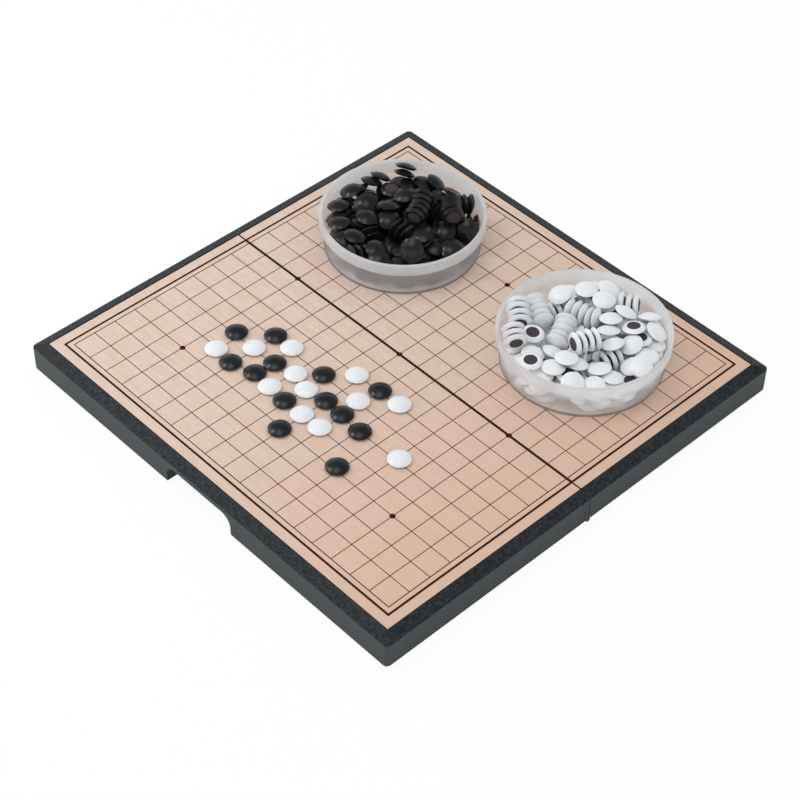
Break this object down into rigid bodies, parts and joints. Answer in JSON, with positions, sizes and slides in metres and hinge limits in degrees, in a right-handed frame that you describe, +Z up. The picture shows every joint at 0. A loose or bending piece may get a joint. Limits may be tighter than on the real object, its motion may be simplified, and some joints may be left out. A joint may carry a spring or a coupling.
{
  "type": "magnetic folding go set",
  "caption": "Folding case whose two outer faces form a go board over steel plates, with magnetic domed stones in play and two round bowls of spare stones.",
  "frame": {"origin": "middle of the open board, on the plane that its four feet stand on", "axes": "+X along the fold, +Y from the half with the stones in play to the half with the bowls, +Z up from the playing side"},
  "size_m": [0.288, 0.288, 0.0538],
  "materials": {
    "case_plastic": "fine spark-eroded grain on black moulded plastic",
    "pin_steel": "drawn steel wire",
    "plate_steel": "thin plated sheet steel",
    "board_sheet": "pale wood-coloured printed vinyl, satin",
    "grid_ink": "dark brown printing ink",
    "bowl_plastic": "frosted translucent moulded plastic",
    "black_stone": "polished",
    "white_stone": "polished",
    "magnet_ferrite": "dull sintered ferrite"
  },
  "bodies": {
    "rear_half": {"rear_case_half": "case_plastic", "rear_steel_plate": "plate_steel", "rear_board_sheet": "board_sheet", "rear_grid_print": "grid_ink", "left_hinge_pin": "pin_steel", "right_hinge_pin": "pin_steel"},
    "front_half": {"front_case_half": "case_plastic", "front_steel_plate": "plate_steel", "front_board_sheet": "board_sheet", "front_grid_print": "grid_ink"},
    "black_bowl_full": {"black_bowl": "bowl_plastic", "black_bowl_lower_stones": "black_stone", "black_bowl_upper_stones": "black_stone", "black_bowl_magnets": "magnet_ferrite"},
    "white_bowl_full": {"white_bowl": "bowl_plastic", "white_bowl_lower_stones": "white_stone", "white_bowl_upper_stones": "white_stone", "white_bowl_magnets": "magnet_ferrite"},
    "black_stone_01": {"black_stone_01": "black_stone"},
    "black_stone_02": {"black_stone_02": "black_stone"},
    "black_stone_03": {"black_stone_03": "black_stone"},
    "black_stone_04": {"black_stone_04": "black_stone"},
    "black_stone_05": {"black_stone_05": "black_stone"},
    "black_stone_06": {"black_stone_06": "black_stone"},
    "black_stone_07": {"black_stone_07": "black_stone"},
    "black_stone_08": {"black_stone_08": "black_stone"},
    "black_stone_09": {"black_stone_09": "black_stone"},
    "black_stone_10": {"black_stone_10": "black_stone"},
    "black_stone_11": {"black_stone_11": "black_stone"},
    "black_stone_12": {"black_stone_12": "black_stone"},
    "black_stone_13": {"black_stone_13": "black_stone"},
    "white_stone_01": {"white_stone_01": "white_stone"},
    "white_stone_02": {"white_stone_02": "white_stone"},
    "white_stone_03": {"white_stone_03": "white_stone"},
    "white_stone_04": {"white_stone_04": "white_stone"},
    "white_stone_05": {"white_stone_05": "white_stone"},
    "white_stone_06": {"white_stone_06": "white_stone"},
    "white_stone_07": {"white_stone_07": "white_stone"},
    "white_stone_08": {"white_stone_08": "white_stone"},
    "white_stone_09": {"white_stone_09": "white_stone"},
    "white_stone_10": {"white_stone_10": "white_stone"},
    "white_stone_11": {"white_stone_11": "white_stone"},
    "white_stone_12": {"white_stone_12": "white_stone"}
  },
  "joints": [
    {"name": "fold", "type": "hinge", "parent": "rear_half", "child": "front_half", "pos_m": [0, 0, 0.0015], "axis": [1, 0, 0], "range_deg": [0, 180]},
    {"name": "black_bowl_lift", "type": "slide", "parent": "rear_half", "child": "black_bowl_full", "axis": [0, 0, 1], "range_m": [0, 0.06]},
    {"name": "white_bowl_lift", "type": "slide", "parent": "rear_half", "child": "white_bowl_full", "axis": [0, 0, 1], "range_m": [0, 0.06]},
    {"name": "black_stone_01_lift", "type": "slide", "parent": "front_half", "child": "black_stone_01", "axis": [0, 0, 1], "range_m": [0, 0.03]},
    {"name": "black_stone_02_lift", "type": "slide", "parent": "front_half", "child": "black_stone_02", "axis": [0, 0, 1], "range_m": [0, 0.03]},
    {"name": "black_stone_03_lift", "type": "slide", "parent": "front_half", "child": "black_stone_03", "axis": [0, 0, 1], "range_m": [0, 0.03]},
    {"name": "black_stone_04_lift", "type": "slide", "parent": "front_half", "child": "black_stone_04", "axis": [0, 0, 1], "range_m": [0, 0.03]},
    {"name": "black_stone_05_lift", "type": "slide", "parent": "front_half", "child": "black_stone_05", "axis": [0, 0, 1], "range_m": [0, 0.03]},
    {"name": "black_stone_06_lift", "type": "slide", "parent": "front_half", "child": "black_stone_06", "axis": [0, 0, 1], "range_m": [0, 0.03]},
    {"name": "black_stone_07_lift", "type": "slide", "parent": "front_half", "child": "black_stone_07", "axis": [0, 0, 1], "range_m": [0, 0.03]},
    {"name": "black_stone_08_lift", "type": "slide", "parent": "front_half", "child": "black_stone_08", "axis": [0, 0, 1], "range_m": [0, 0.03]},
    {"name": "black_stone_09_lift", "type": "slide", "parent": "front_half", "child": "black_stone_09", "axis": [0, 0, 1], "range_m": [0, 0.03]},
    {"name": "black_stone_10_lift", "type": "slide", "parent": "front_half", "child": "black_stone_10", "axis": [0, 0, 1], "range_m": [0, 0.03]},
    {"name": "black_stone_11_lift", "type": "slide", "parent": "front_half", "child": "black_stone_11", "axis": [0, 0, 1], "range_m": [0, 0.03]},
    {"name": "black_stone_12_lift", "type": "slide", "parent": "front_half", "child": "black_stone_12", "axis": [0, 0, 1], "range_m": [0, 0.03]},
    {"name": "black_stone_13_lift", "type": "slide", "parent": "front_half", "child": "black_stone_13", "axis": [0, 0, 1], "range_m": [0, 0.03]},
    {"name": "white_stone_01_lift", "type": "slide", "parent": "front_half", "child": "white_stone_01", "axis": [0, 0, 1], "range_m": [0, 0.03]},
    {"name": "white_stone_02_lift", "type": "slide", "parent": "front_half", "child": "white_stone_02", "axis": [0, 0, 1], "range_m": [0, 0.03]},
    {"name": "white_stone_03_lift", "type": "slide", "parent": "front_half", "child": "white_stone_03", "axis": [0, 0, 1], "range_m": [0, 0.03]},
    {"name": "white_stone_04_lift", "type": "slide", "parent": "front_half", "child": "white_stone_04", "axis": [0, 0, 1], "range_m": [0, 0.03]},
    {"name": "white_stone_05_lift", "type": "slide", "parent": "front_half", "child": "white_stone_05", "axis": [0, 0, 1], "range_m": [0, 0.03]},
    {"name": "white_stone_06_lift", "type": "slide", "parent": "front_half", "child": "white_stone_06", "axis": [0, 0, 1], "range_m": [0, 0.03]},
    {"name": "white_stone_07_lift", "type": "slide", "parent": "front_half", "child": "white_stone_07", "axis": [0, 0, 1], "range_m": [0, 0.03]},
    {"name": "white_stone_08_lift", "type": "slide", "parent": "front_half", "child": "white_stone_08", "axis": [0, 0, 1], "range_m": [0, 0.03]},
    {"name": "white_stone_09_lift", "type": "slide", "parent": "front_half", "child": "white_stone_09", "axis": [0, 0, 1], "range_m": [0, 0.03]},
    {"name": "white_stone_10_lift", "type": "slide", "parent": "front_half", "child": "white_stone_10", "axis": [0, 0, 1], "range_m": [0, 0.03]},
    {"name": "white_stone_11_lift", "type": "slide", "parent": "front_half", "child": "white_stone_11", "axis": [0, 0, 1], "range_m": [0, 0.03]},
    {"name": "white_stone_12_lift", "type": "slide", "parent": "front_half", "child": "white_stone_12", "axis": [0, 0, 1], "range_m": [0, 0.03]}
  ]
}
